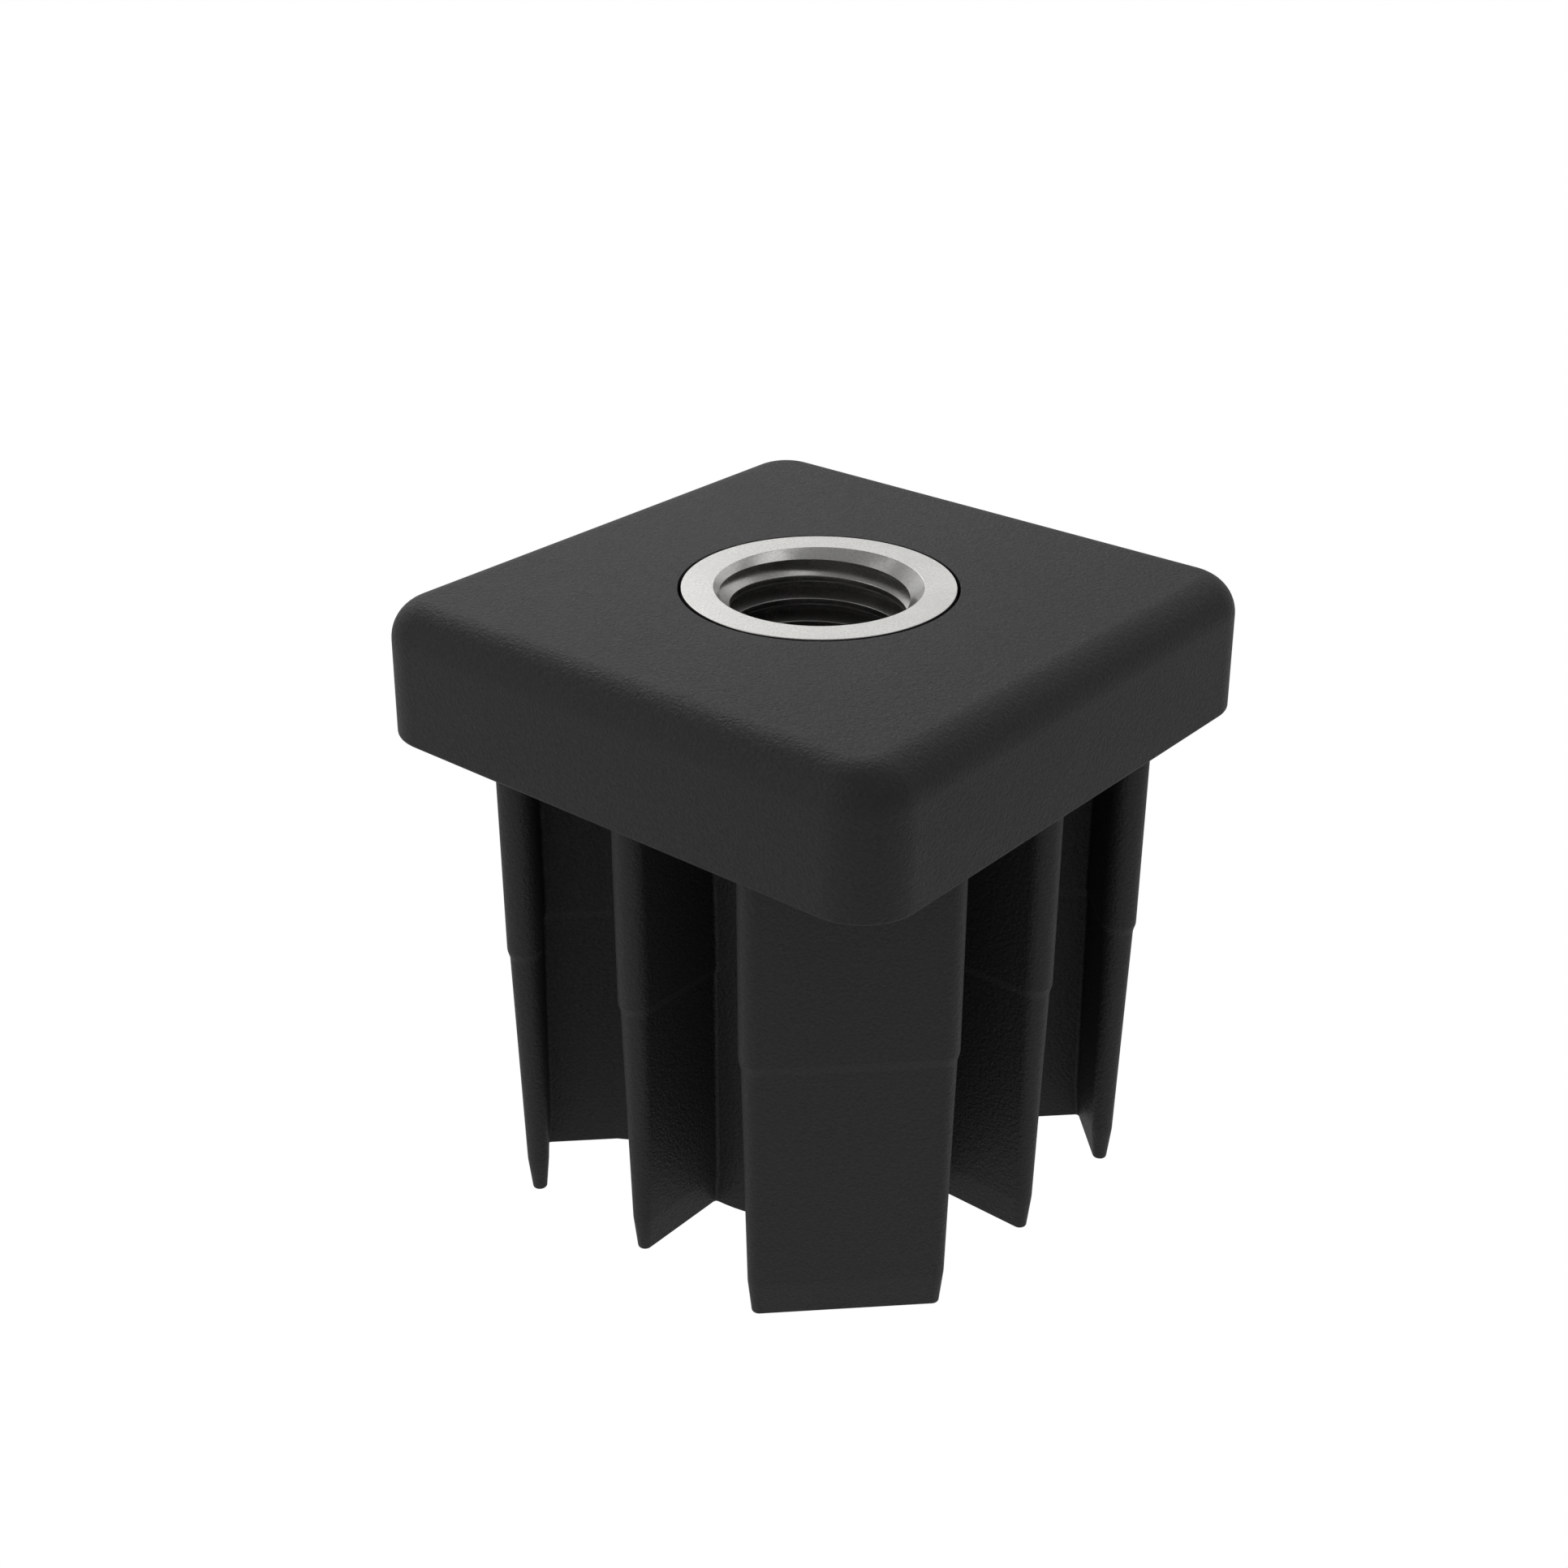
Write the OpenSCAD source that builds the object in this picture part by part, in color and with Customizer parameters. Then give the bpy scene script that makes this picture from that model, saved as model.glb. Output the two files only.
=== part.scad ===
// Threaded insert for the end of a square tube: a moulded plastic plug with a flanged steel bush.
// Millimetres. The thread's axis is Z and points out of the tube. Z = 0 is the cap's underside,
// which seats on the tube's end, so the ribs hang below it and the cap stands above it.

/* [Cap] */
// Width of the square cap at its underside, the same as the tube's outside
cap_w = 50; // [47:0.5:60]
// Height of the cap above the tube's end
cap_h = 11.2; // [9:0.1:14]
// Radius of the cap's four upright corners
cap_corner_r = 4.7; // [4:0.1:7]
// Radius of the round along the cap's top edge
cap_edge_r = 3.2; // [1.5:0.1:3.5]
// Radius of the small round along the cap's lower edge
cap_lip_r = 0.3; // [0.1:0.05:0.6]
// Slope of the cap's sides, in degrees
cap_draft = 0.95; // [0.5:0.05:2]

/* [Ribs] */
// Width across the ribs' noses, which fills the inside of the tube
plug_w = 46.7; // [45:0.1:47.5]
// Length of the ribs and the hub below the cap
rib_l = 40; // [30:1:50]
// Thickness of every rib where it leaves the cap
rib_t = 2.9; // [2.4:0.1:3.4]
// Depth at which the ribs step in
step_depth = 16.4; // [10:0.1:20]
// Height of the sloped step
step_h = 0.7; // [0.4:0.1:1.5]
// Amount by which each face steps in
step_in = 0.19; // [0.1:0.01:0.3]
// Slope of each face below the step, in degrees
rib_draft = 1.05; // [0.5:0.05:1.2]
// Height of the lead-in at the ribs' tips
lead_h = 3; // [1:0.5:5]
// Slope of each face along the lead-in, in degrees
lead_draft = 5.8; // [2:0.2:6]
// Distance from the axis to the middle of a corner plate, along the diagonal
plate_d = 24.15; // [22:0.05:25.5]
// Distance from the axis at which a corner web starts to widen towards the hub
flare_d = 17.4; // [16:0.1:19]
// Angle by which each side of a web's root turns out, in degrees
flare_deg = 13.3; // [5:0.1:16]

/* [Hub] */
// Diameter of the hub at the cap's underside
hub_d = 29.25; // [27.5:0.05:31]
// Slope of the hub's outside, in degrees
hub_draft = 1.05; // [0.5:0.05:1.5]
// Diameter of the hollow below the bush, which clears the stud of a foot
hub_bore_d = 18; // [17:0.1:19]

/* [Bush] */
// Diameter of the bush's flange, whose top face shows in the cap
flange_d = 21.6; // [21:0.1:24]
// Thickness of the flange
flange_t = 3; // [2:0.1:5]
// Height of the flange's face above the cap
bush_proud = 0.1; // [0:0.05:0.5]
// Length of the whole bush
bush_l = 30; // [20:1:36]
// Diameter over the shank's teeth
shank_d = 20.4; // [19.4:0.1:20.8]
// Depth of the shank's teeth
tooth_h = 0.4; // [0.2:0.05:0.6]
// Number of teeth round the shank
tooth_count = 24; // [16:1:36]
// Diameter over the crests of the M16 thread
thread_minor_d = 14; // [13.9:0.05:14.2]
// Diameter of the countersink at both ends of the thread
mouth_d = 16.52; // [16:0.02:17]

/* [Fits] */
// Gap all round the flange in the cap
flange_gap = 0.19; // [0.05:0.01:0.3]
// Gap between the shank's teeth and their seat, and below the shank's end
shank_gap = 0.05; // [0.02:0.01:0.1]

/* [Hidden] */
$fn = 96;
// Length by which a piece runs into its neighbour inside one moulding, or past a face it cuts
lap = 1;
quarter = 90;
// The cap
corner_at = cap_w / 2 - cap_corner_r;
edge_z = cap_h - cap_edge_r;
// The ribs' noses
nose_r = rib_t / 2;
nose_at = plug_w / 2 - nose_r;
plate_half = nose_at * sqrt(2) - plate_d;
// How far each rib face has moved in, at each depth
step_end = step_depth + step_h;
lead_start = rib_l - lead_h;
inset_step = step_in;
inset_lead = inset_step + (lead_start - step_end) * tan(rib_draft);
inset_tip = inset_lead + lead_h * tan(lead_draft);
inset_web_tip = inset_step + (rib_l - step_end) * tan(rib_draft);
// The hub and what it holds
hub_tip_d = hub_d - 2 * rib_l * tan(hub_draft);
socket_d = flange_d + 2 * flange_gap;
bush_top = cap_h + bush_proud;
flange_seat = bush_top - flange_t;
bush_bottom = bush_top - bush_l;
rib_start = (shank_d + hub_tip_d) / 4;
flare_l = (flare_d - rib_start) / cos(flare_deg);
mouth_depth = (mouth_d - thread_minor_d) / 2;

// Half section of the cap's edge: x runs out from the corner's centre, y is the height.
module cap_section() {
    side_x = cap_corner_r - edge_z * tan(cap_draft);
    round_x = side_x - cap_edge_r / cos(cap_draft);
    lip_x = cap_corner_r - cap_lip_r;
    polygon([
        [0, 0],
        [lip_x, 0],
        [cap_corner_r - cap_lip_r * (1 - cos(cap_draft)), cap_lip_r],
        [round_x + cap_edge_r * cos(cap_draft), edge_z + cap_edge_r * sin(cap_draft)],
        [round_x, edge_z],
        [round_x, cap_h],
        [0, cap_h],
    ]);
    translate([round_x, edge_z])
        circle(r = cap_edge_r);
    translate([lip_x, cap_lip_r])
        circle(r = cap_lip_r);
}

// The solid square cap with its drafted sides and rounded corners and top edge.
module cap() {
    for (turn = [0:3]) {
        rotate([0, 0, quarter * turn]) {
            translate([corner_at, corner_at, 0])
                rotate_extrude()
                    intersection() {
                        cap_section();
                        square([cap_corner_r, cap_h]);
                    }
            translate([corner_at, corner_at, 0])
                rotate([quarter, 0, 0])
                    linear_extrude(height = 2 * corner_at)
                        intersection() {
                            cap_section();
                            square([cap_corner_r, cap_h]);
                        }
        }
    }
    translate([-corner_at, -corner_at, 0])
        cube([2 * corner_at, 2 * corner_at, cap_h]);
}

// Outline of one side of a rib: its distance from the rib's middle plane at each depth.
function rib_side(with_lead) = with_lead
    ? [
        [nose_r, lap],
        [nose_r, -step_depth],
        [nose_r - inset_step, -step_end],
        [nose_r - inset_lead, -lead_start],
        [nose_r - inset_tip, -rib_l],
    ]
    : [
        [nose_r, lap],
        [nose_r, -step_depth],
        [nose_r - inset_step, -step_end],
        [nose_r - inset_web_tip, -rib_l],
    ];

function mirrored(points) = [for (i = [len(points) - 1:-1:0]) [-points[i][0], points[i][1]]];

// The rounded end of a rib, round an upright axis.
module nose() {
    rotate_extrude()
        polygon(concat([[0, lap]], rib_side(true), [[0, -rib_l]]));
}

// The flat length of a rib, from x = 0 along +X.
module slab(length, with_lead) {
    rotate([quarter, 0, quarter])
        linear_extrude(height = length)
            polygon(concat(rib_side(with_lead), mirrored(rib_side(with_lead))));
}

// A fin square to the tube's wall, with a rounded nose.
module middle_fin() {
    translate([rib_start, 0, 0])
        slab(nose_at - rib_start, true);
    translate([nose_at, 0, 0])
        nose();
}

// A plate across the tube's corner, on a web that widens into the hub.
module corner_leg() {
    translate([plate_d, -plate_half, 0])
        rotate([0, 0, quarter])
            slab(2 * plate_half, true);
    for (side = [-1, 1]) {
        translate([plate_d, side * plate_half, 0])
            nose();
        translate([flare_d, 0, 0])
            rotate([0, 0, 2 * quarter + side * flare_deg])
                slab(flare_l, false);
    }
    translate([rib_start, 0, 0])
        slab(plate_d - rib_start, false);
}

// The round hub that holds the bush.
module hub() {
    translate([0, 0, -rib_l])
        cylinder(d1 = hub_tip_d, d2 = hub_d, h = rib_l);
}

// Outline of the bush's toothed shank, grown by a gap.
module shank_outline(gap) {
    polygon([
        for (i = [0:2 * tooth_count - 1])
            let (r = shank_d / 2 + gap - (i % 2) * tooth_h, a = i * 180 / tooth_count)
                [r * cos(a), r * sin(a)]
    ]);
}

// What the bush and the stud below it take out of the plug.
module bush_seat() {
    translate([0, 0, flange_seat])
        cylinder(d = socket_d, h = bush_top - flange_seat + lap);
    translate([0, 0, bush_bottom - shank_gap])
        linear_extrude(height = bush_l - flange_t + shank_gap + lap)
            shank_outline(shank_gap);
    translate([0, 0, -rib_l - lap])
        cylinder(d = hub_bore_d, h = rib_l + lap + bush_bottom + lap);
}

// The moulding: cap, hub, four middle fins and four corner legs in one piece.
module plug_body() {
    color([0.08, 0.08, 0.085])
        difference() {
            union() {
                cap();
                hub();
                for (turn = [0:3]) {
                    rotate([0, 0, quarter * turn])
                        middle_fin();
                    rotate([0, 0, quarter * (turn + 0.5)])
                        corner_leg();
                }
            }
            bush_seat();
        }
}

// The flanged steel bush, bored to the thread's crests.
module threaded_bush() {
    color([0.78, 0.77, 0.75])
        difference() {
            union() {
                translate([0, 0, flange_seat])
                    cylinder(d = flange_d, h = flange_t);
                translate([0, 0, bush_bottom])
                    linear_extrude(height = bush_l - flange_t + lap)
                        shank_outline(0);
            }
            translate([0, 0, bush_bottom - lap])
                cylinder(d = thread_minor_d, h = bush_l + 2 * lap);
            translate([0, 0, bush_top - mouth_depth])
                cylinder(d1 = thread_minor_d, d2 = mouth_d, h = mouth_depth);
            translate([0, 0, bush_bottom])
                cylinder(d1 = mouth_d, d2 = thread_minor_d, h = mouth_depth);
        }
}

plug_body();
threaded_bush();
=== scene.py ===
"""Threaded end plug for a square tube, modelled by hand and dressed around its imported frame."""

import logging
import math
from collections.abc import Callable, Iterable
from dataclasses import dataclass, field
from enum import Enum

import bmesh
import bpy
from mathutils import Matrix, Vector


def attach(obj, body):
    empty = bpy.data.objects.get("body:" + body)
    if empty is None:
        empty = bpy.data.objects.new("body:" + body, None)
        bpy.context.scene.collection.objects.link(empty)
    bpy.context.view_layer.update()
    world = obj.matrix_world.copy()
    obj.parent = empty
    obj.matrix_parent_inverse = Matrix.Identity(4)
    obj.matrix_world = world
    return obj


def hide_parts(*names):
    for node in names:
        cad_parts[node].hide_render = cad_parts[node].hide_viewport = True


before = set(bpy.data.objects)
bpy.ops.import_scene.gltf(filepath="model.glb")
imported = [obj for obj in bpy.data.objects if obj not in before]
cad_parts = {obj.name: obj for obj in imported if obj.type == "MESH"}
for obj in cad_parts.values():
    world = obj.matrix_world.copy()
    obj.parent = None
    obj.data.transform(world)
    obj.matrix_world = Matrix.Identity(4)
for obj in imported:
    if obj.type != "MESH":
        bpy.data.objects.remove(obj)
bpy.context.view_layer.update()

# One millimetre in metres. The classes hold their sizes in millimetres.
MM = 0.001
# Distance in millimetres within which two places are the same.
NEAR = 0.0005
UPRIGHT = (0.0, 0.0, 1.0)
CROSSWISE = (0.0, 1.0, 0.0)
# An eighth of a turn, which is all of the moulding that is drawn.
EIGHTH = math.radians(45)
# Turns at which a small edge round gets a section.
ROUND_TURNS = tuple(math.radians(a) for a in (0, 22.5, 45, 67.5, 90))
# Sockets of a colour Mix node, which share their names with its number sockets.
MIX_DARK, MIX_PALE, MIX_COLOUR = 6, 7, 2
# Span of the grain's values over which a finish goes from one gloss to the other.
GLOSS_SPAN = (0.3, 0.7)
LOG = logging.getLogger("end_plug")


class Part(Enum):
    """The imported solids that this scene's pieces stand for."""

    PLUG = "plug_body"
    BUSH = "threaded_bush"


class Slot(Enum):
    """The record's material slots."""

    PLASTIC = "plug_plastic"
    STEEL = "bush_steel"


class Item(Enum):
    """What a selection in edit mode is made of."""

    VERTICES = "VERT"
    EDGES = "EDGE"
    FACES = "FACE"


def direction(azimuth: float, elevation: float) -> Vector:
    """Gives the way from the plug to a place that lies at two angles.

    Args:
        azimuth: Angle round the plug in degrees, from its front towards its right.
        elevation: Angle above the level in degrees.

    Returns:
        The unit vector.
    """
    a, e = math.radians(azimuth), math.radians(elevation)
    return Vector((math.sin(a) * math.cos(e), -math.cos(a) * math.cos(e), math.sin(e)))


def make_active(piece: bpy.types.Object, *others: bpy.types.Object) -> None:
    """Selects a piece alone, or with others, and makes it the active one.

    Args:
        piece: The piece that becomes active.
        others: Pieces that are selected with it.
    """
    bpy.ops.object.select_all(action="DESELECT")
    for one in (piece, *others):
        one.select_set(True)
    bpy.context.view_layer.objects.active = piece


def apply_modifier(piece: bpy.types.Object, kind: str, **settings: object) -> None:
    """Adds a modifier to the active piece, sets it up and applies it.

    Args:
        piece: The active piece, in object mode.
        kind: The modifier's type.
        settings: The modifier's own settings by name.
    """
    bpy.ops.object.modifier_add(type=kind)
    modifier = piece.modifiers[-1]
    for name, value in settings.items():
        setattr(modifier, name, value)
    bpy.ops.object.modifier_apply(modifier=modifier.name)


def open_piece(name: str) -> bpy.types.Object:
    """Starts an empty mesh at the origin and leaves it open in edit mode.

    Args:
        name: The new object's name.

    Returns:
        The new object.
    """
    bpy.ops.object.select_all(action="DESELECT")
    bpy.ops.mesh.primitive_plane_add(size=MM)
    piece = bpy.context.object
    piece.name = name
    piece.data.name = name
    bpy.ops.object.mode_set(mode="EDIT")
    bpy.ops.mesh.delete(type="VERT")
    return piece


def close_piece() -> None:
    """Leaves edit mode."""
    bpy.ops.object.mode_set(mode="OBJECT")


def pick(item: Item, corner: Callable[[Vector], bool]) -> None:
    """Selects each item of the open mesh whose corners all pass a test.

    Args:
        item: The kind of item to select.
        corner: Test of one corner's place, in millimetres.
    """
    bpy.ops.mesh.select_mode(type=item.value)
    bpy.ops.mesh.select_all(action="DESELECT")
    mesh = bpy.context.edit_object.data
    shape = bmesh.from_edit_mesh(mesh)
    if item is Item.VERTICES:
        chosen = [v for v in shape.verts if corner(v.co / MM)]
    else:
        pool = shape.edges if item is Item.EDGES else shape.faces
        chosen = [p for p in pool if all(corner(v.co / MM) for v in p.verts)]
    for one in chosen:
        one.select_set(True)
    shape.select_flush_mode()
    bmesh.update_edit_mesh(mesh)


def level(*heights: float) -> Callable[[Vector], bool]:
    """Makes a test that a place lies at one of these heights.

    Args:
        heights: Heights in millimetres.

    Returns:
        The test.
    """
    return lambda p: any(abs(p.z - z) < NEAR for z in heights)


def stretch(x: float, y: float, z: float) -> None:
    """Scales the selection about the thread's axis."""
    bpy.ops.transform.resize(value=(x, y, z), center_override=(0, 0, 0))


def bevel_edges(offset: float, segments: int) -> None:
    """Bevels the selected edges by an offset in millimetres."""
    bpy.ops.mesh.bevel(offset=offset * MM, segments=segments, affect="EDGES")


def weld(distance: float = NEAR) -> None:
    """Merges all corners of the open mesh that lie within a distance in millimetres."""
    bpy.ops.mesh.select_all(action="SELECT")
    bpy.ops.mesh.remove_doubles(threshold=distance * MM)


def face_outwards() -> None:
    """Turns every face of the open mesh outwards."""
    bpy.ops.mesh.select_all(action="SELECT")
    bpy.ops.mesh.normals_make_consistent(inside=False)


def finish_shape(piece: bpy.types.Object, angle: float) -> None:
    """Smooths a closed piece where it is round and keeps its flat faces flat.

    Args:
        piece: The object, in object mode.
        angle: Angle in degrees above which an edge stays sharp.
    """
    make_active(piece)
    bpy.ops.object.shade_smooth_by_angle(angle=math.radians(angle))
    apply_modifier(piece, "WEIGHTED_NORMAL", keep_sharp=True, weight=80)


class Pen:
    """Draws an outline in edit mode, one extrude or spin at a time."""

    def __init__(self, x: float, y: float, z: float) -> None:
        """Puts down the first point.

        Args:
            x: Place along X in millimetres.
            y: Place along Y in millimetres.
            z: Height in millimetres.
        """
        self.place = Vector((x, y, z))
        bpy.ops.mesh.select_mode(type=Item.VERTICES.value)
        bpy.ops.mesh.select_all(action="DESELECT")
        bpy.ops.mesh.primitive_plane_add(size=MM, location=self.place * MM)
        bpy.ops.mesh.merge(type="CENTER")

    def line_to(self, x: float, y: float, z: float | None = None) -> None:
        """Extrudes the last point to a new place.

        Args:
            x: Place along X in millimetres.
            y: Place along Y in millimetres.
            z: Height in millimetres, or None to stay level.
        """
        target = Vector((x, y, self.place.z if z is None else z))
        step = (target - self.place) * MM
        bpy.ops.mesh.extrude_region_move(TRANSFORM_OT_translate={"value": step})
        self.place = target

    def arc(
        self,
        centre: tuple[float, float, float],
        degrees: float,
        steps: int,
        axis: tuple[float, float, float] = UPRIGHT,
    ) -> None:
        """Spins the last point round a centre.

        Args:
            centre: Point on the axis, in millimetres.
            degrees: Turn, right-handed about the axis.
            steps: Number of straight pieces.
            axis: Axis of the turn.
        """
        middle, turn = Vector(centre), math.radians(degrees)
        bpy.ops.mesh.spin(steps=steps, angle=-turn, center=middle * MM, axis=axis)
        self.place = middle + Matrix.Rotation(turn, 3, axis) @ (self.place - middle)


@dataclass(frozen=True)
class Depth:
    """The ribs' section at one depth below the cap, in millimetres."""

    z: float
    fin_half: float
    web_half: float
    hub_radius: float


@dataclass
class Skirt:
    """Hub, fins and corner legs, drawn as an eighth of their outline at each depth.

    The edges of the step and the lead-in are rounded over a length of twice soften.
    """

    length: float = 40.0
    rib_half: float = 1.45
    nose_at: float = 21.9
    plate_at: float = 24.15
    flare_at: float = 17.4
    flare_degrees: float = 13.3
    flare_round: float = 1.5
    hub_radius: float = 14.625
    draft: float = 1.05
    step_top: float = 16.4
    step_end: float = 17.1
    step_in: float = 0.19
    lead_top: float = 37.0
    lead_draft: float = 5.8
    root_round: float = 0.3
    fillet: float = 0.32
    tip_round: float = 0.12
    soften: float = 0.14
    hub_steps: int = 10
    nose_steps: int = 16
    fillet_steps: int = 4
    flare_steps: int = 3

    @property
    def plate_half(self) -> float:
        """Half the straight width of a corner plate."""
        return self.nose_at * math.sqrt(2) - self.plate_at

    def inset(self, depth: float, with_lead: bool) -> float:
        """Tells how far a rib's face has moved in.

        Args:
            depth: Depth below the cap.
            with_lead: Whether the face has the lead-in at its tip.

        Returns:
            The inset in millimetres.
        """
        slope = math.tan(math.radians(self.draft))
        steep = math.tan(math.radians(self.lead_draft)) if with_lead else slope
        run = min(max((depth - self.step_top) / (self.step_end - self.step_top), 0), 1)
        plain = max(min(depth, self.lead_top) - self.step_end, 0)
        return self.step_in * run + slope * plain + steep * max(depth - self.lead_top, 0)

    def softened(self, depth: float, with_lead: bool) -> float:
        """Averages the inset round a depth, which rounds the step's and the lead-in's edges."""
        spread = (-0.75, -0.25, 0.25, 0.75)
        return sum(self.inset(depth + s * self.soften, with_lead) for s in spread) / len(spread)

    def depths(self) -> list[Depth]:
        """Lists the sections from the cap's underside to the tips.

        Returns:
            One section for each depth that gets an outline.
        """
        root, end = self.root_round, self.tip_round
        stops = [(root * (1 - math.cos(a)), -root * (1 - math.sin(a))) for a in ROUND_TURNS]
        for edge in (self.step_top, self.step_end, self.lead_top):
            stops += [(edge + s * self.soften, 0.0) for s in (-1, -0.5, 0, 0.5, 1)]
        tip = self.length - end
        stops += [(tip + end * math.sin(a), end * (1 - math.cos(a))) for a in ROUND_TURNS]
        slope = math.tan(math.radians(self.draft))
        return [
            Depth(
                z=-depth,
                fin_half=self.rib_half - self.softened(depth, True) - extra,
                web_half=self.rib_half - self.softened(depth, False) - extra,
                hub_radius=self.hub_radius - depth * slope - extra,
            )
            for depth, extra in stops
        ]

    def draw(self, at: Depth) -> None:
        """Draws the outline from a fin's nose to the middle of a corner plate.

        Args:
            at: The section to draw.
        """
        half, web, hub, g = at.fin_half, at.web_half, at.hub_radius, self.fillet
        pen = Pen(self.nose_at + half, 0, at.z)
        pen.arc((self.nose_at, 0, at.z), 90, self.nose_steps // 2)
        reach = hub + g
        first = math.asin((half + g) / reach)
        root_x = reach * math.cos(first)
        pen.line_to(root_x, half)
        pen.arc((root_x, half + g, at.z), math.degrees(first) - 90, self.fillet_steps)
        turn = math.radians(self.flare_degrees)
        outward = Vector((math.cos(turn), math.sin(turn), 0))
        aside = Vector((math.sin(turn), -math.cos(turn), 0))
        start = Vector((self.flare_at, 0, 0)) + aside * (web + g)
        along = start.dot(outward)
        back = along - math.sqrt(along**2 - start.length_squared + reach**2)
        centre = start - outward * back
        diagonal = Matrix.Rotation(EIGHTH, 3, UPRIGHT)
        at_hub = diagonal @ (centre * hub / reach)
        last = math.atan2(at_hub.y, at_hub.x)
        pen.arc((0, 0, at.z), math.degrees(last - first), self.hub_steps)
        sweep = math.degrees(centre.angle(aside))
        spot = diagonal @ centre
        pen.arc((spot.x, spot.y, at.z), -sweep, self.fillet_steps)
        bend = self.flare_round
        bend_x = self.flare_at + web * math.tan(turn / 2)
        tangent = bend * math.tan(turn / 2)
        flare_end = diagonal @ (Vector((bend_x, -web, 0)) - outward * tangent)
        bend_centre = diagonal @ Vector((bend_x + tangent, -web - bend, 0))
        pen.line_to(flare_end.x, flare_end.y)
        pen.arc((bend_centre.x, bend_centre.y, at.z), -self.flare_degrees, self.flare_steps)
        inner = self.plate_at - half
        web_end = diagonal @ Vector((inner - g, -web, 0))
        corner = diagonal @ Vector((inner - g, -web - g, 0))
        pen.line_to(web_end.x, web_end.y)
        pen.arc((corner.x, corner.y, at.z), -90, self.fillet_steps)
        plate_end = diagonal @ Vector((inner, -self.plate_half, 0))
        nose = diagonal @ Vector((self.plate_at, -self.plate_half, 0))
        pen.line_to(plate_end.x, plate_end.y)
        pen.arc((nose.x, nose.y, at.z), 180, self.nose_steps)
        front = diagonal @ Vector((self.plate_at + half, 0, 0))
        pen.line_to(front.x, front.y)

    def build(self) -> bpy.types.Object:
        """Draws every outline and bridges each to the next.

        Returns:
            The open skin of one eighth of the ribs and the hub.
        """
        piece = open_piece("skirt")
        sections = self.depths()
        for section in sections:
            self.draw(section)
        for upper, lower in zip(sections, sections[1:]):
            pick(Item.EDGES, level(upper.z, lower.z))
            bpy.ops.mesh.bridge_edge_loops()
        close_piece()
        return piece


@dataclass
class CapShell:
    """The square cap's outside: a vertical section carried along a side and round a corner."""

    corner_at: float = 20.3
    corner_radius: float = 4.7
    height: float = 11.2
    edge_radius: float = 3.2
    lip_radius: float = 0.3
    draft: float = 0.95
    lip_steps: int = 5
    edge_steps: int = 14
    corner_steps: int = 9

    def build(self) -> bpy.types.Object:
        """Draws the section, extrudes it along half a side and spins it round half a corner.

        Returns:
            The open skin of one eighth of the cap.
        """
        piece = open_piece("cap_shell")
        c, edge, slope = self.corner_at, self.edge_radius, math.radians(self.draft)
        edge_z = self.height - edge
        side = self.corner_radius - edge_z * math.tan(slope)
        round_x = c + side - edge / math.cos(slope)
        lip_x = c + self.corner_radius - self.lip_radius
        pen = Pen(lip_x, c, 0)
        pen.arc((lip_x, c, self.lip_radius), -90 - self.draft, self.lip_steps, CROSSWISE)
        pen.line_to(round_x + edge * math.cos(slope), c, edge_z + edge * math.sin(slope))
        pen.arc((round_x, c, edge_z), self.draft - 90, self.edge_steps, CROSSWISE)
        pick(Item.EDGES, lambda p: abs(p.y - c) < NEAR)
        bpy.ops.mesh.extrude_region_move(TRANSFORM_OT_translate={"value": (0, -c * MM, 0)})
        pick(Item.EDGES, lambda p: abs(p.y - c) < NEAR)
        centre = (c * MM, c * MM, 0)
        bpy.ops.mesh.spin(steps=self.corner_steps, angle=-EIGHTH, center=centre, axis=UPRIGHT)
        close_piece()
        return piece


@dataclass
class Seat:
    """What the plug holds inside: the flange's recess, the shank's seat and the hollow below."""

    recess_radius: float = 11.04
    recess_floor: float = 8.3
    shank_radius: float = 10.25
    shank_floor: float = -18.75
    hollow_radius: float = 9.0
    rim_round: float = 0.06
    bottom_round: float = 0.25
    top: float = 11.2
    bottom: float = -40.0
    rim_steps: int = 4
    wall_steps: int = 16

    def build(self) -> bpy.types.Object:
        """Draws the inside's section and spins it through an eighth of a turn.

        Returns:
            The open skin of one eighth of the inside.
        """
        piece = open_piece("seat")
        rim, lip = self.recess_radius + self.rim_round, self.hollow_radius + self.bottom_round
        pen = Pen(rim, 0, self.top)
        pen.arc((rim, 0, self.top - self.rim_round), -90, self.rim_steps, CROSSWISE)
        pen.line_to(self.recess_radius, 0, self.recess_floor)
        pen.line_to(self.shank_radius, 0, self.recess_floor)
        pen.line_to(self.shank_radius, 0, self.shank_floor)
        pen.line_to(self.hollow_radius, 0, self.shank_floor)
        pen.line_to(self.hollow_radius, 0, self.bottom + self.bottom_round)
        pen.arc((lip, 0, self.bottom + self.bottom_round), -90, self.rim_steps, CROSSWISE)
        bpy.ops.mesh.select_all(action="SELECT")
        bpy.ops.mesh.spin(steps=self.wall_steps, angle=-EIGHTH, center=(0, 0, 0), axis=UPRIGHT)
        close_piece()
        return piece


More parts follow.
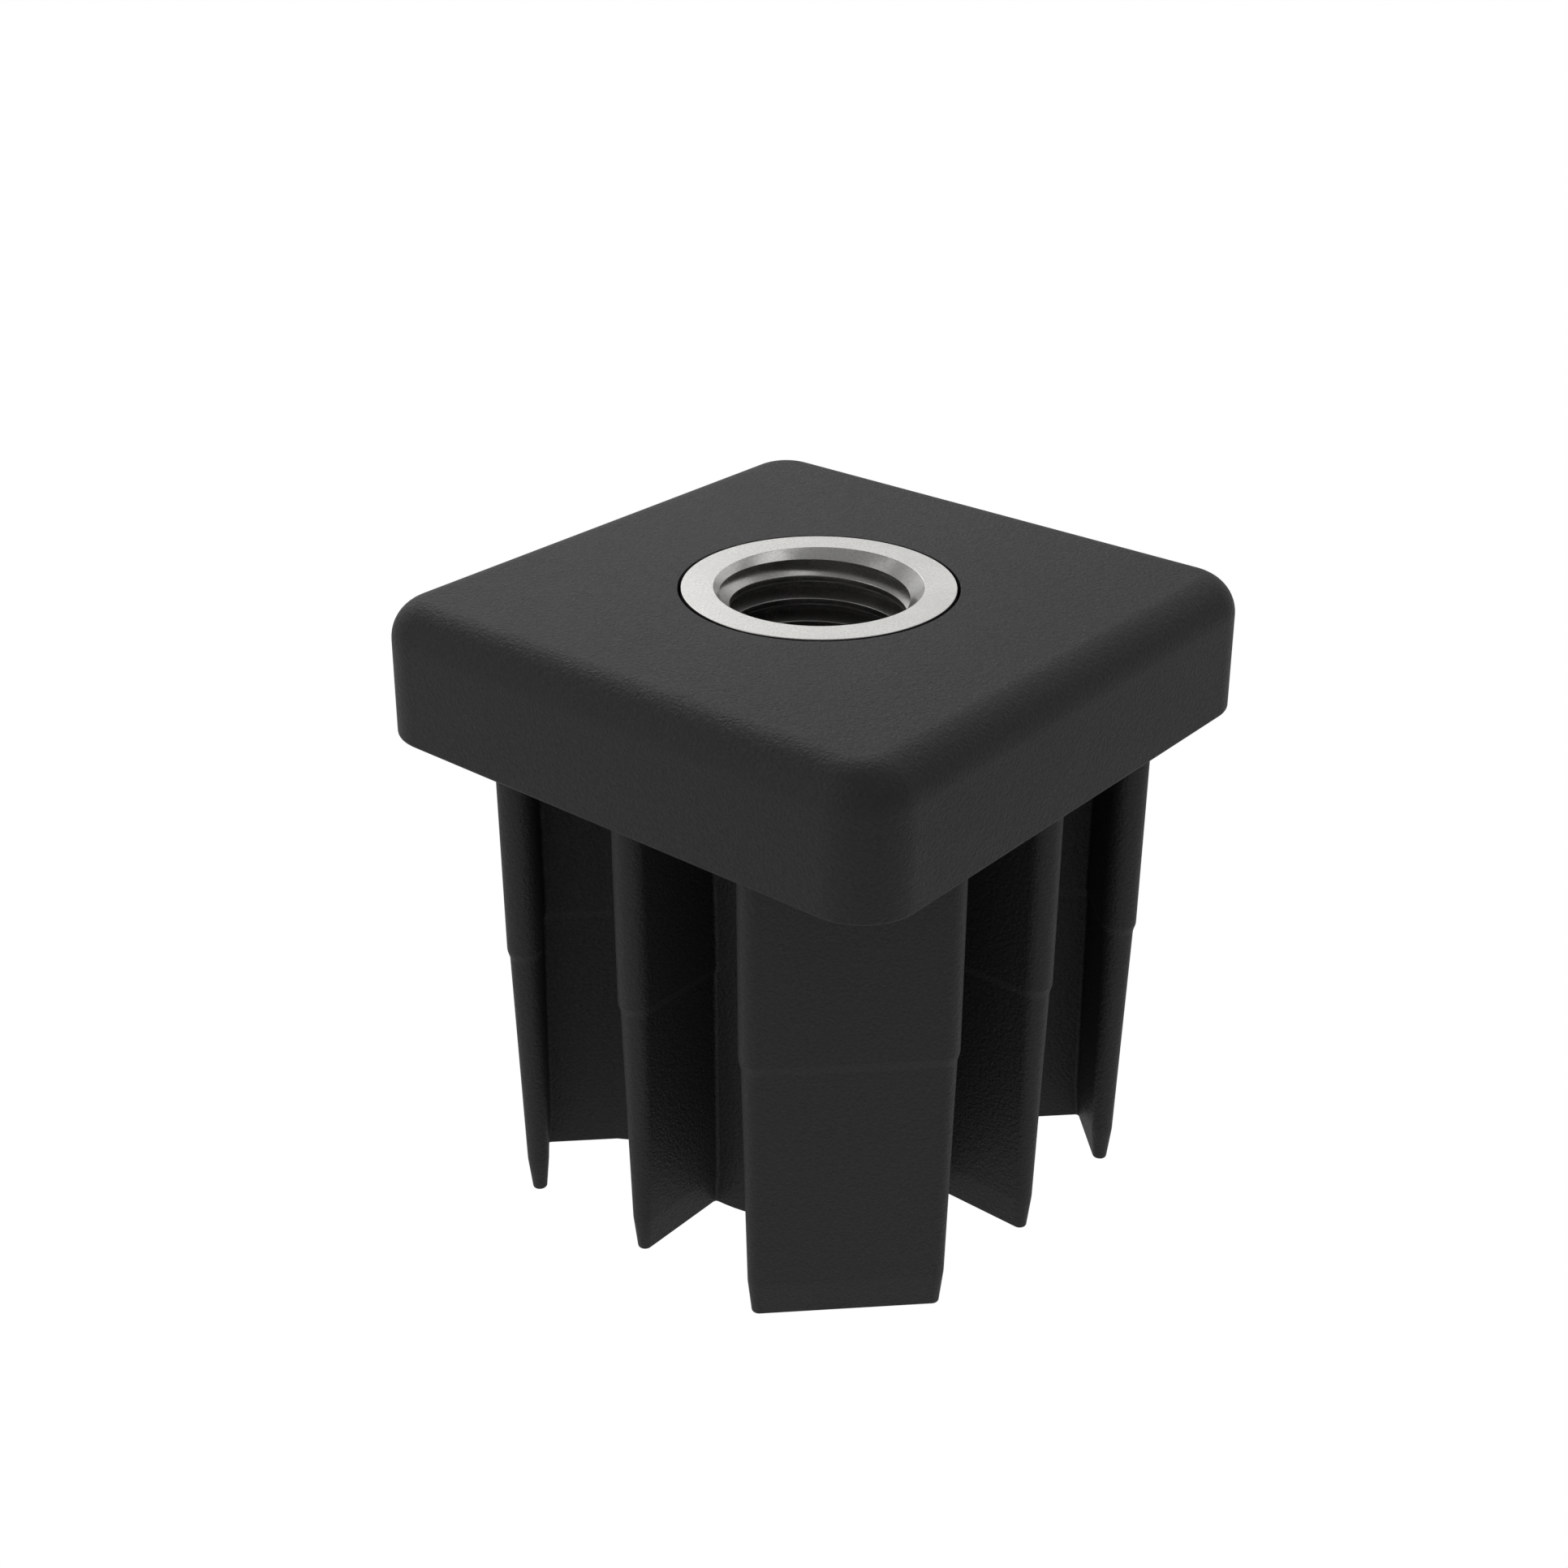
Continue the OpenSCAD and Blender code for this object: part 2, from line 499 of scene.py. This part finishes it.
@dataclass
class PlugMoulding:
    """The black moulding in one piece: cap, hub, fins and corner legs."""

    skirt: Skirt = field(default_factory=Skirt)
    cap: CapShell = field(default_factory=CapShell)
    seat: Seat = field(default_factory=Seat)
    sharp_above: float = 40.0

    def close_face(self, z: float) -> None:
        """Fills the flat face at a height in one eighth of the moulding.

        Args:
            z: Height of the face in millimetres.
        """
        for side in (lambda p: abs(p.y) < NEAR, lambda p: abs(p.y - p.x) < 2 * NEAR):
            pick(Item.VERTICES, lambda p, side=side: abs(p.z - z) < NEAR and side(p))
            bpy.ops.mesh.edge_face_add()
        pick(Item.EDGES, level(z))
        bpy.ops.mesh.edge_face_add()

    def build(self) -> bpy.types.Object:
        """Joins the three skins, closes the flat faces, and copies the eighth round the axis.

        Returns:
            The closed moulding.
        """
        piece = self.skirt.build()
        make_active(piece, self.cap.build(), self.seat.build())
        bpy.ops.object.join()
        piece.name = "plug_moulding"
        bpy.ops.object.mode_set(mode="EDIT")
        weld()
        for z in (0.0, self.cap.height, -self.skirt.length):
            self.close_face(z)
        bpy.ops.mesh.select_all(action="SELECT")
        bpy.ops.mesh.duplicate()
        stretch(1, -1, 1)
        weld()
        for quarters in (2, 1):
            bpy.ops.mesh.select_all(action="SELECT")
            bpy.ops.mesh.duplicate()
            bpy.ops.transform.rotate(
                value=quarters * math.pi / 2, orient_axis="Z", center_override=(0, 0, 0)
            )
        weld(2 * NEAR)
        face_outwards()
        close_piece()
        finish_shape(piece, self.sharp_above)
        return piece


@dataclass
class ThreadedBush:
    """The flanged steel bush: a knurled shank, a flange flush with the cap and an M16 thread.

    A screw-shaped tap cuts the thread. It has turns to spare above the first crest, and runs
    past the bush by tap_over at the top and by tap_under at the bottom.
    """

    top: float = 11.24
    length: float = 29.94
    flange_radius: float = 10.8
    flange_height: float = 2.94
    rim_round: float = 0.06
    shank_radius: float = 10.2
    tooth_height: float = 0.4
    teeth: int = 24
    crest_radius: float = 7.0
    groove_radius: float = 8.06
    crest_width: float = 0.5
    groove_width: float = 0.276
    pitch: float = 2.0
    first_crest: float = 8.53
    mouth_radius: float = 8.26
    mouth_slack: float = 0.05
    edge_break: float = 0.04
    end_bevel: float = 0.3
    points_per_tooth: int = 8
    tap_turns: int = 18
    turns_above: int = 3
    tap_steps: int = 90
    tap_over: float = 0.6
    tap_under: float = 0.4
    sink_depth: float = 1.9
    sink_over: float = 0.5
    sink_sides: int = 128
    merge: float = 0.0002
    sharp_above: float = 32.0

    @property
    def bottom(self) -> float:
        """Height of the shank's end."""
        return self.top - self.length

    @property
    def seat(self) -> float:
        """Height of the flange's underside."""
        return self.top - self.flange_height

    def turn_blank(self) -> bpy.types.Object:
        """Turns the flange, extrudes the shank from it and presses the teeth in.

        Returns:
            The solid blank.
        """
        bpy.ops.object.select_all(action="DESELECT")
        around = self.points_per_tooth * self.teeth
        bpy.ops.mesh.primitive_cylinder_add(
            vertices=around,
            radius=self.flange_radius * MM,
            depth=self.flange_height * MM,
            location=(0, 0, (self.top - self.flange_height / 2) * MM),
        )
        piece = bpy.context.object
        piece.name = "steel_bush"
        bpy.ops.object.transform_apply(location=True, rotation=True, scale=True)
        bpy.ops.object.mode_set(mode="EDIT")
        pick(Item.FACES, level(self.seat))
        shank, count = self.shank_radius, self.points_per_tooth
        bpy.ops.mesh.inset(thickness=(self.flange_radius - shank) * MM)
        bpy.ops.mesh.extrude_region_move(
            TRANSFORM_OT_translate={"value": (0, 0, (self.bottom - self.seat) * MM)}
        )
        outside = (self.flange_radius + shank) / 2
        for place in range(1, count // 2 + 1):
            share = 1 - place / (count // 2) * self.tooth_height / shank

            def in_tooth(p: Vector, place: int = place) -> bool:
                """Tells whether a corner of the shank lies this far from a tooth's crest."""
                turn = round(math.atan2(p.y, p.x) / (2 * math.pi) * around) % count
                on_shank = p.z < self.seat + NEAR and p.xy.length < outside
                return on_shank and min(turn, count - turn) == place

            pick(Item.VERTICES, in_tooth)
            stretch(share, share, 1)
        for rim in (self.top, self.seat):
            pick(Item.EDGES, lambda p, rim=rim: abs(p.z - rim) < NEAR and p.xy.length > outside)
            bevel_edges(self.rim_round, 3)
        pick(Item.EDGES, level(self.bottom))
        bevel_edges(self.end_bevel, 1)
        close_piece()
        return piece

    def make_tap(self) -> bpy.types.Object:
        """Winds one pitch of the thread's outline into a tap and trims its ends flat.

        Returns:
            The closed core that cuts the thread.
        """
        piece = open_piece("tap")
        crest, groove = self.crest_radius, self.groove_radius
        flank = (self.pitch - self.crest_width - self.groove_width) / 2
        below = self.pitch * (self.tap_turns - self.turns_above)
        z = self.first_crest - below - self.crest_width / 2
        pen = Pen(crest, 0, z)
        for radius, rise in (
            (crest, self.crest_width / 2),
            (groove, flank),
            (groove, self.groove_width),
            (crest, flank),
            (crest, self.crest_width / 2),
        ):
            z += rise
            pen.line_to(radius, 0, z)
        at_end = level(z, z - self.pitch)
        pick(Item.VERTICES, lambda p: p.x < crest + NEAR and not at_end(p))
        bpy.ops.mesh.bevel(offset=self.edge_break * MM, segments=2, affect="VERTICES")
        close_piece()
        apply_modifier(
            piece,
            "SCREW",
            axis="Z",
            angle=2 * math.pi,
            screw_offset=self.pitch * MM,
            iterations=self.tap_turns,
            steps=self.tap_steps,
            render_steps=self.tap_steps,
        )
        bpy.ops.object.mode_set(mode="EDIT")
        weld()
        upper, lower = self.top + self.tap_over, self.bottom - self.tap_under
        for height, above in ((upper, True), (lower, False)):
            bpy.ops.mesh.select_all(action="SELECT")
            bpy.ops.mesh.bisect(
                plane_co=(0, 0, height * MM),
                plane_no=UPRIGHT,
                use_fill=True,
                clear_inner=not above,
                clear_outer=above,
            )
        face_outwards()
        close_piece()
        return piece

    def make_countersink(self, top_end: bool) -> bpy.types.Object:
        """Makes the 45 degree cutter for one end of the thread.

        Args:
            top_end: Whether it cuts the mouth in the flange or the shank's end.

        Returns:
            The cutter.
        """
        bpy.ops.object.select_all(action="DESELECT")
        reach, over = self.sink_depth, self.sink_over
        wide, narrow = (self.mouth_radius + over) * MM, (self.mouth_radius - reach) * MM
        middle = (over - reach) / 2
        bpy.ops.mesh.primitive_cone_add(
            vertices=self.sink_sides,
            radius1=narrow if top_end else wide,
            radius2=wide if top_end else narrow,
            depth=(over + reach) * MM,
            location=(0, 0, (self.top + middle if top_end else self.bottom - middle) * MM),
        )
        bpy.ops.object.transform_apply(location=True, rotation=True, scale=True)
        return bpy.context.object

    def cut(self, piece: bpy.types.Object, cutter: bpy.types.Object) -> None:
        """Cuts a shape out of the bush and throws the cutter away.

        Args:
            piece: The bush.
            cutter: The closed shape to take out.
        """
        make_active(piece)
        apply_modifier(piece, "BOOLEAN", operation="DIFFERENCE", solver="EXACT", object=cutter)
        bpy.data.objects.remove(cutter)

    def at_mouth(self, place: Vector) -> bool:
        """Tells whether a place lies on a countersink's rim, as seen from above."""
        return abs(place.xy.length - self.mouth_radius) < self.mouth_slack

    def build(self) -> bpy.types.Object:
        """Turns the blank, cuts its thread and both countersinks, and breaks their edges.

        Returns:
            The finished bush.
        """
        piece = self.turn_blank()
        for cutter in (self.make_tap(), self.make_countersink(True), self.make_countersink(False)):
            self.cut(piece, cutter)
        bpy.ops.object.mode_set(mode="EDIT")
        for end in (level(self.top), level(self.bottom)):
            pick(Item.EDGES, lambda p, end=end: end(p) and self.at_mouth(p))
            bevel_edges(self.edge_break, 2)
        weld(self.merge)
        face_outwards()
        close_piece()
        finish_shape(piece, self.sharp_above)
        return piece


@dataclass
class NodeBoard:
    """Places and joins the nodes of one material or node group."""

    tree: bpy.types.NodeTree

    def add(self, kind: str, operation: str | None = None, **values: object) -> bpy.types.Node:
        """Places a node and sets its own inputs.

        Args:
            kind: The node's type.
            operation: What a math node does, or None for any other node.
            values: Inputs by name, with underscores for spaces.

        Returns:
            The new node.
        """
        node = self.tree.nodes.new(kind)
        if operation is not None:
            node.operation = operation
        for name, value in values.items():
            node.inputs[name.replace("_", " ")].default_value = value
        return node

    def ramp(self, span: tuple[float, float], first: float, last: float) -> bpy.types.Node:
        """Places a map from a span of values to a first and a last value.

        Args:
            span: Values at which the map starts and ends.
            first: Result at the span's start.
            last: Result at the span's end.

        Returns:
            The new node.
        """
        start, end = span
        return self.add(
            "ShaderNodeMapRange", From_Min=start, From_Max=end, To_Min=first, To_Max=last
        )

    def inverse(self) -> bpy.types.Node:
        """Places a node that divides one by its second input."""
        node = self.add("ShaderNodeMath", "DIVIDE")
        node.inputs[0].default_value = 1.0
        return node

    def join(self, source: bpy.types.NodeSocket, *targets: bpy.types.NodeSocket) -> None:
        """Links one output to each target input."""
        for target in targets:
            self.tree.links.new(source, target)


def spark_grain_group() -> bpy.types.NodeTree:
    """Builds the fine eroded grain that the mould and the plating both leave.

    Returns:
        A group with inputs Vector, Size, Fine and Cloud, and outputs Height and Patches.
    """
    group = bpy.data.node_groups.new("spark_grain", "ShaderNodeTree")
    for name, kind, value in (
        ("Vector", "NodeSocketVector", None),
        ("Size", "NodeSocketFloat", 0.4),
        ("Fine", "NodeSocketFloat", 0.5),
        ("Cloud", "NodeSocketFloat", 6.0),
    ):
        socket = group.interface.new_socket(name=name, in_out="INPUT", socket_type=kind)
        if value is not None:
            socket.default_value = value
    for name in ("Height", "Patches"):
        group.interface.new_socket(name=name, in_out="OUTPUT", socket_type="NodeSocketFloat")
    board = NodeBoard(group)
    source, result = board.add("NodeGroupInput"), board.add("NodeGroupOutput")
    millimetres = board.add("ShaderNodeVectorMath", "SCALE", Scale=1 / MM)
    cells = board.add("ShaderNodeTexVoronoi")
    cells.feature = "SMOOTH_F1"
    cells.inputs["Smoothness"].default_value = 0.6
    waves = board.add("ShaderNodeTexNoise", Detail=3.0, Roughness=0.66, Distortion=0.4)
    clouds = board.add("ShaderNodeTexNoise", Detail=2.0, Roughness=0.5)
    pitch, spread, mix = board.inverse(), board.inverse(), board.add("ShaderNodeMix")
    board.join(source.outputs["Vector"], millimetres.inputs[0])
    board.join(source.outputs["Size"], pitch.inputs[1])
    board.join(source.outputs["Cloud"], spread.inputs[1])
    for texture in (cells, waves, clouds):
        board.join(millimetres.outputs[0], texture.inputs["Vector"])
    board.join(pitch.outputs[0], cells.inputs["Scale"], waves.inputs["Scale"])
    board.join(spread.outputs[0], clouds.inputs["Scale"])
    board.join(source.outputs["Fine"], mix.inputs["Factor"])
    board.join(cells.outputs["Distance"], mix.inputs["A"])
    board.join(waves.outputs["Fac"], mix.inputs["B"])
    board.join(mix.outputs["Result"], result.inputs["Height"])
    board.join(clouds.outputs["Fac"], result.inputs["Patches"])
    return group


@dataclass(frozen=True)
class GrainedNodes:
    """What a grained finish has before its own nodes join it."""

    material: bpy.types.Material
    board: NodeBoard
    shader: bpy.types.Node
    place: bpy.types.Node
    grain: bpy.types.Node
    tint: bpy.types.Node


@dataclass(frozen=True)
class GrainedFinish:
    """A finish whose tone, gloss and relief follow the spark grain."""

    grain: bpy.types.NodeTree
    name: str
    dark: tuple[float, float, float]
    pale: tuple[float, float, float]
    tone_span: tuple[float, float]
    smooth: float
    rough: float
    relief: float
    size: float
    fine: float
    cloud: float

    def start(self) -> GrainedNodes:
        """Places the grain, the two tones that follow it and its relief.

        Returns:
            The nodes, with the tone and the gloss not yet joined to the shader.
        """
        material = bpy.data.materials.new(self.name)
        material.use_nodes = True
        board = NodeBoard(material.node_tree)
        shader = material.node_tree.nodes["Principled BSDF"]
        place = board.add("ShaderNodeTexCoord")
        grain = board.add("ShaderNodeGroup")
        grain.node_tree = self.grain
        for name, value in (("Size", self.size), ("Fine", self.fine), ("Cloud", self.cloud)):
            grain.inputs[name].default_value = value
        tone = board.ramp(self.tone_span, 0.0, 1.0)
        tint = board.add("ShaderNodeMix")
        tint.data_type = "RGBA"
        tint.inputs[MIX_DARK].default_value = (*self.dark, 1)
        tint.inputs[MIX_PALE].default_value = (*self.pale, 1)
        bump = board.add("ShaderNodeBump", Strength=1.0, Distance=self.relief * MM)
        board.join(place.outputs["Object"], grain.inputs["Vector"])
        board.join(grain.outputs["Height"], tone.inputs["Value"], bump.inputs["Height"])
        board.join(tone.outputs[0], tint.inputs[0])
        board.join(bump.outputs[0], shader.inputs["Normal"])
        return GrainedNodes(material, board, shader, place, grain, tint)


@dataclass(frozen=True)
class MouldedPlastic(GrainedFinish):
    """Black moulded plastic with the mould's fine grain, duller and darker in its pits.

    Patchy is the share that wide patches, rather than pits, have in the gloss.
    """

    name: str = "black_moulded_plastic"
    dark: tuple[float, float, float] = (0.026, 0.026, 0.0263)
    pale: tuple[float, float, float] = (0.039, 0.039, 0.0393)
    tone_span: tuple[float, float] = (0.3, 0.7)
    smooth: float = 0.35
    rough: float = 0.45
    patchy: float = 0.25
    relief: float = 0.15
    size: float = 0.27
    fine: float = 0.85
    cloud: float = 7.0
    specular: float = 0.39
    refraction: float = 1.49

    def make(self) -> bpy.types.Material:
        """Builds the material.

        Returns:
            The new material.
        """
        nodes = self.start()
        board, shader, grain = nodes.board, nodes.shader, nodes.grain
        shader.inputs["Specular IOR Level"].default_value = self.specular
        shader.inputs["IOR"].default_value = self.refraction
        worn = board.add("ShaderNodeMix", Factor=self.patchy)
        gloss = board.ramp(GLOSS_SPAN, self.rough, self.smooth)
        board.join(grain.outputs["Height"], worn.inputs["A"])
        board.join(grain.outputs["Patches"], worn.inputs["B"])
        board.join(worn.outputs["Result"], gloss.inputs["Value"])
        board.join(nodes.tint.outputs[MIX_COLOUR], shader.inputs["Base Color"])
        board.join(gloss.outputs[0], shader.inputs["Roughness"])
        return nodes.material


@dataclass(frozen=True)
class PlatedSteel(GrainedFinish):
    """Bright plated steel with a fine speckle, with painted shade down in the thread.

    Its colour is scaled by core within core_reach of the place on the axis at core_middle,
    and rises from there to its full value at face_reach.
    """

    name: str = "plated_steel"
    dark: tuple[float, float, float] = (0.64, 0.635, 0.616)
    pale: tuple[float, float, float] = (0.815, 0.81, 0.79)
    tone_span: tuple[float, float] = (0.35, 0.65)
    smooth: float = 0.22
    rough: float = 0.32
    relief: float = 0.003
    size: float = 0.16
    fine: float = 0.9
    cloud: float = 5.0
    core: float = 0.5
    core_middle: float = -4.0
    core_reach: float = 11.0
    face_reach: float = 17.2

    def make(self) -> bpy.types.Material:
        """Builds the material.

        Returns:
            The new material.
        """
        nodes = self.start()
        board, shader = nodes.board, nodes.shader
        shader.inputs["Metallic"].default_value = 1.0
        # Painted shade: the colour is scaled down near a place deep in the bore, where the thread
        # lies in shade.
        depth = board.add("ShaderNodeVectorMath", "DISTANCE")
        depth.inputs[1].default_value = (0, 0, self.core_middle * MM)
        bore_shade = board.ramp((self.core_reach * MM, self.face_reach * MM), self.core, 1.0)
        bore_shaded_colour = board.add("ShaderNodeVectorMath", "SCALE")
        gloss = board.ramp(GLOSS_SPAN, self.smooth, self.rough)
        board.join(nodes.place.outputs["Object"], depth.inputs[0])
        board.join(depth.outputs["Value"], bore_shade.inputs["Value"])
        board.join(nodes.tint.outputs[MIX_COLOUR], bore_shaded_colour.inputs[0])
        board.join(bore_shade.outputs[0], bore_shaded_colour.inputs["Scale"])
        board.join(bore_shaded_colour.outputs[0], shader.inputs["Base Color"])
        board.join(nodes.grain.outputs["Patches"], gloss.inputs["Value"])
        board.join(gloss.outputs[0], shader.inputs["Roughness"])
        return nodes.material


@dataclass(frozen=True)
class PaleFloor:
    """Plain white floor with a soft pool of light round the plug.

    Its glow falls from glow_near to glow_far between the distances near and far. It shows from
    above and lets a view from below through.
    """

    glow_near: float = 0.335
    glow_far: float = 0.215
    near: float = 30.0
    far: float = 125.0
    shade: float = 0.35

    def make(self) -> bpy.types.Material:
        """Builds the material.

        Returns:
            The new material.
        """
        material = bpy.data.materials.new("pale_floor")
        material.use_nodes = True
        board = NodeBoard(material.node_tree)
        shader = material.node_tree.nodes["Principled BSDF"]
        shader.inputs["Base Color"].default_value = (self.shade, self.shade, self.shade, 1)
        shader.inputs["Roughness"].default_value = 1.0
        shader.inputs["Specular IOR Level"].default_value = 0.0
        shader.inputs["Emission Color"].default_value = (1, 1, 1, 1)
        place, reach = board.add("ShaderNodeTexCoord"), board.add("ShaderNodeVectorMath", "LENGTH")
        pool = board.ramp((self.near * MM, self.far * MM), self.glow_near, self.glow_far)
        board.join(place.outputs["Object"], reach.inputs[0])
        board.join(reach.outputs["Value"], pool.inputs["Value"])
        board.join(pool.outputs[0], shader.inputs["Emission Strength"])
        paper = board.add("ShaderNodeEmission", Color=(1, 1, 1, 1), Strength=1.0)
        rays = board.add("ShaderNodeLightPath")
        side = board.add("ShaderNodeNewGeometry")
        clear = board.add("ShaderNodeBsdfTransparent")
        top, both = board.add("ShaderNodeMixShader"), board.add("ShaderNodeMixShader")
        board.join(rays.outputs["Is Camera Ray"], top.inputs[0])
        board.join(shader.outputs[0], top.inputs[1])
        board.join(paper.outputs[0], top.inputs[2])
        board.join(side.outputs["Backfacing"], both.inputs[0])
        board.join(top.outputs[0], both.inputs[1])
        board.join(clear.outputs[0], both.inputs[2])
        board.join(both.outputs[0], material.node_tree.nodes["Material Output"].inputs["Surface"])
        return material


@dataclass(frozen=True)
class Softbox:
    """A square area light that looks at the plug, with its size and distance in metres."""

    name: str
    azimuth: float
    elevation: float
    size: float
    power: float
    distance: float = 0.9

    def hang(self) -> None:
        """Adds the light, facing the middle of the plug."""
        way = direction(self.azimuth, self.elevation)
        light = bpy.data.lights.new(self.name, "AREA")
        light.size = self.size
        light.energy = self.power
        lamp = bpy.data.objects.new(self.name, light)
        lamp.location = way * self.distance
        lamp.rotation_mode = "QUATERNION"
        lamp.rotation_quaternion = way.to_track_quat("Z", "Y")
        bpy.context.scene.collection.objects.link(lamp)


@dataclass
class Studio:
    """The white floor and surround, the soft lights and the camera.

    The surround is white to the camera and dim to everything else.
    """

    floor_height: float = -40.0
    floor_width: float = 6000.0
    surround: float = 0.24
    softboxes: tuple[Softbox, ...] = (
        Softbox("softbox_back", azimuth=220, elevation=30, size=0.5, power=0.51),
        Softbox("softbox_far_left", azimuth=237, elevation=30, size=0.35, power=0.37),
        Softbox("softbox_back_left", azimuth=255, elevation=30, size=0.5, power=0.2),
        Softbox("softbox_low_left", azimuth=250, elevation=8, size=0.3, power=0.1),
        Softbox("softbox_back_right", azimuth=180, elevation=30, size=0.5, power=0.3),
        Softbox("softbox_high_right", azimuth=126, elevation=57, size=0.4, power=0.28),
        Softbox("softbox_top", azimuth=154, elevation=76, size=0.2, power=0.1),
        Softbox("softbox_left", azimuth=310, elevation=38, size=0.5, power=0.25),
        Softbox("softbox_front_left", azimuth=335, elevation=20, size=0.5, power=0.7),
    )
    focal_pixels: float = 2667.97
    image_pixels: int = 1932
    azimuth: float = 39.948
    elevation: float = 27.014
    distance: float = 174.079
    slide: tuple[float, float] = (-2.727, -5.531)
    roll: float = 0.0139
    sensor: float = 36.0

    def lay_floor(self) -> None:
        """Lays the floor that the tips stand on."""
        bpy.ops.object.select_all(action="DESELECT")
        middle = (0, 0, self.floor_height * MM)
        bpy.ops.mesh.primitive_plane_add(size=self.floor_width * MM, location=middle)
        floor = bpy.context.object
        floor.name = "floor"
        floor.data.materials.append(PaleFloor().make())

    def light(self) -> None:
        """Sets the white surround and hangs the softboxes."""
        world = bpy.data.worlds.new("white_surround")
        world.use_nodes = True
        board = NodeBoard(world.node_tree)
        sky = world.node_tree.nodes["Background"]
        sky.inputs["Color"].default_value = (1, 1, 1, 1)
        sky.inputs["Strength"].default_value = self.surround
        paper = board.add("ShaderNodeBackground", Color=(1, 1, 1, 1), Strength=1.0)
        rays, both = board.add("ShaderNodeLightPath"), board.add("ShaderNodeMixShader")
        board.join(rays.outputs["Is Camera Ray"], both.inputs[0])
        board.join(sky.outputs[0], both.inputs[1])
        board.join(paper.outputs[0], both.inputs[2])
        board.join(both.outputs[0], world.node_tree.nodes["World Output"].inputs["Surface"])
        bpy.context.scene.world = world
        bpy.context.scene.view_settings.view_transform = "Standard"
        for box in self.softboxes:
            box.hang()

    def aim_camera(self) -> None:
        """Adds the camera at the picture's viewing angle."""
        a, r = math.radians(self.azimuth), math.radians(self.roll)
        back = direction(self.azimuth, self.elevation)
        level_right = Vector((math.cos(a), math.sin(a), 0))
        level_up = back.cross(level_right)
        right = level_right * math.cos(r) + level_up * math.sin(r)
        up = level_up * math.cos(r) - level_right * math.sin(r)
        data = bpy.data.cameras.new("camera")
        data.sensor_width = self.sensor
        data.lens = self.focal_pixels / self.image_pixels * self.sensor
        data.clip_start, data.clip_end = 0.01, 100.0
        camera = bpy.data.objects.new("camera", data)
        turn = Matrix((right, up, back)).transposed().to_4x4()
        place = back * self.distance + right * self.slide[0] + up * self.slide[1]
        camera.matrix_world = Matrix.Translation(place * MM) @ turn
        bpy.context.scene.collection.objects.link(camera)
        bpy.context.scene.camera = camera

    def build(self) -> None:
        """Sets up the whole studio."""
        self.lay_floor()
        self.light()
        self.aim_camera()


def dress(piece: bpy.types.Object, finish: bpy.types.Material, part: Part) -> None:
    """Gives a piece its finish and its place in the frame.

    Args:
        piece: The modelled piece.
        finish: Its material.
        part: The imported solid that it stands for.
    """
    piece.data.materials.clear()
    piece.data.materials.append(finish)
    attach(piece, "root")
    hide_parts(part.value)
    LOG.info("%s: %d faces, for %s", piece.name, len(piece.data.polygons), part.value)


def main() -> None:
    """Builds, dresses and lights the plug."""
    logging.basicConfig(level=logging.INFO, format="%(name)s: %(message)s")
    grain = spark_grain_group()
    dress(PlugMoulding().build(), MouldedPlastic(grain).make(), Part.PLUG)
    dress(ThreadedBush().build(), PlatedSteel(grain).make(), Part.BUSH)
    Studio().build()


if __name__ == "__main__":
    main()
